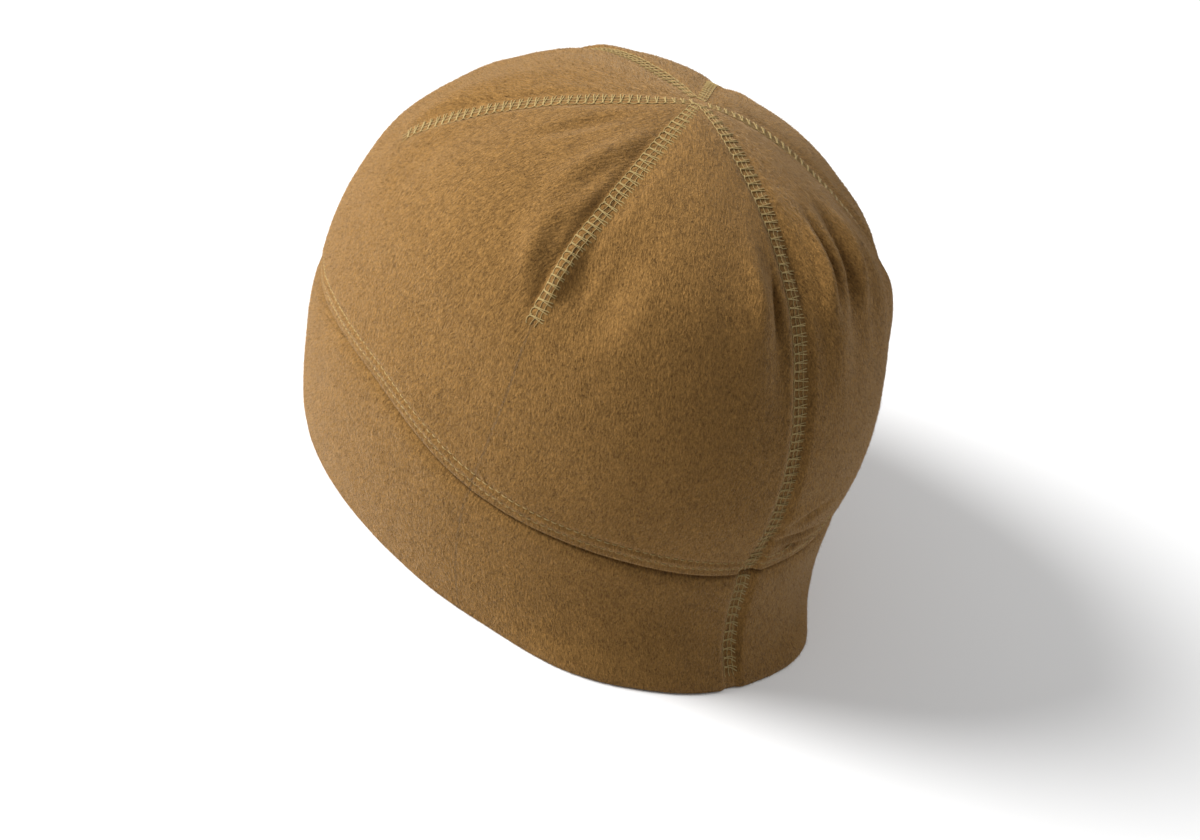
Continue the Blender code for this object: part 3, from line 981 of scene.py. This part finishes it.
def addCells(mesh, count):
    # each blade has a cell of its own on the piece's map
    wide = math.ceil(math.sqrt(count))
    number = np.arange(count)
    low = np.stack([number % wide, number // wide], axis=-1)[:, None] / wide
    shape = np.array([(0.1, 0.1), (0.9, 0.1), (0.5, 0.9)])[None] / wide
    cellMap = mesh.uv_layers.new(name="OFBake")
    cellMap.data.foreach_set("uv", (low + shape).astype(np.float32).ravel())


def faceNormals(face):
    right = np.gradient(face, axis=1)
    up = np.gradient(face, axis=0)
    normal = np.cross(up, right)
    normal /= np.linalg.norm(normal, axis=-1, keepdims=True) + 1e-12
    return normal


setOver = findShift()
crown = makeCrown()
print("crown made:", len(crown.data.polygons), "faces")
band = makeBand()
print("band made:", len(band.data.polygons), "faces")
crownThreads, bandThreads = makeStitches()
print("stitches made:", [len(piece.data.polygons) for piece in crownThreads + bandThreads], "faces")
fuzz = [
    makeFibres("crownNapUnder", faces["crown"], nap["crownFibres"], 21),
    makeFibres("crownNapOver", faces["crown"], nap["crownFibres"], 22),
    makeFibres("bandNap", faces["band"], nap["bandFibres"], 23),
]
print("nap made:", [len(piece.data.polygons) for piece in fuzz], "blades")

napGroup = makeNapGroup()
crown.data.materials.append(fleeceMaterial("crownFleece", napGroup, fleece, coyoteBrown))
band.data.materials.append(fleeceMaterial("bandFleece", napGroup, fleece, coyoteBrown))
sewing = threadMaterial("sewingThread", thread)
for piece in crownThreads + bandThreads:
    piece.data.materials.append(sewing)
fibre = fibreMaterial("napFibre", fleece, coyoteBrown)
for piece in fuzz:
    piece.data.materials.append(fibre)

for piece in (crown, band, *crownThreads, *bandThreads, *fuzz):
    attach(piece, "root")
# the record has no slot for thread, so the stitches take none
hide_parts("crown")
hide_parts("band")

# Floor, lights and camera
studio = {
    "cameraAt": (0.46317, 0.51913, 0.46760),
    "lookAt": (0.00618, 0.01964, 0.04138),
    "roll": 17.53,
    "lens": 75.0,
    "sensor": 36.0,
    "nearest": 0.01,
    "keyAt": (0.95, -0.72, 0.92),
    "keyTo": (0, 0, 0.08),
    "keySize": 0.8,
    "keyPower": 44.0,
    "sky": 0.28,
    "rimAt": (-0.90, 0.20, 0.80),
    "rimTo": (0, 0, 0.07),
    "rimSize": 0.45,
    "rimPower": 5.5,
    "floorSize": 6,
    "floorTone": (0.86, 0.86, 0.86, 1),
    "floorRoughness": 0.9,
}


def placeCamera():
    camera = bpy.data.objects.new("camera", bpy.data.cameras.new("camera"))
    bpy.context.scene.collection.objects.link(camera)
    camera.data.lens = studio["lens"]
    camera.data.sensor_width = studio["sensor"]
    camera.data.clip_start = studio["nearest"]
    back = (Vector(studio["cameraAt"]) - Vector(studio["lookAt"])).normalized()
    level = Vector((-back.y, back.x, 0)).normalized()
    upright = back.cross(level)
    roll = math.radians(studio["roll"])
    right = math.cos(roll) * level + math.sin(roll) * upright
    up = back.cross(right)
    turned = Matrix((right, up, back)).transposed().to_4x4()
    camera.matrix_world = Matrix.Translation(studio["cameraAt"]) @ turned
    bpy.context.scene.camera = camera


def addLight(name, place, target, size, power):
    data = bpy.data.lights.new(name, "AREA")
    data.shape = "DISK"
    data.size = size
    data.energy = power
    lamp = bpy.data.objects.new(name, data)
    bpy.context.scene.collection.objects.link(lamp)
    lamp.location = place
    lamp.rotation_euler = (Vector(target) - Vector(place)).to_track_quat("-Z", "Y").to_euler()


bpy.ops.object.select_all(action="DESELECT")
bpy.ops.mesh.primitive_plane_add(size=studio["floorSize"])
floor = bpy.context.object
floor.name = "floor"
paper = bpy.data.materials.new("palePaper")
paper.use_nodes = True
paperShader = paper.node_tree.nodes["Principled BSDF"]
paperShader.inputs["Base Color"].default_value = studio["floorTone"]
paperShader.inputs["Roughness"].default_value = studio["floorRoughness"]
floor.data.materials.append(paper)
world = bpy.data.worlds.new("studio")
world.use_nodes = True
world.node_tree.nodes["Background"].inputs["Color"].default_value = (1, 1, 1, 1)
world.node_tree.nodes["Background"].inputs["Strength"].default_value = studio["sky"]
bpy.context.scene.world = world
addLight("key", studio["keyAt"], studio["keyTo"], studio["keySize"], studio["keyPower"])
addLight("rim", studio["rimAt"], studio["rimTo"], studio["rimSize"], studio["rimPower"])
bpy.context.scene.view_settings.view_transform = "Standard"
placeCamera()
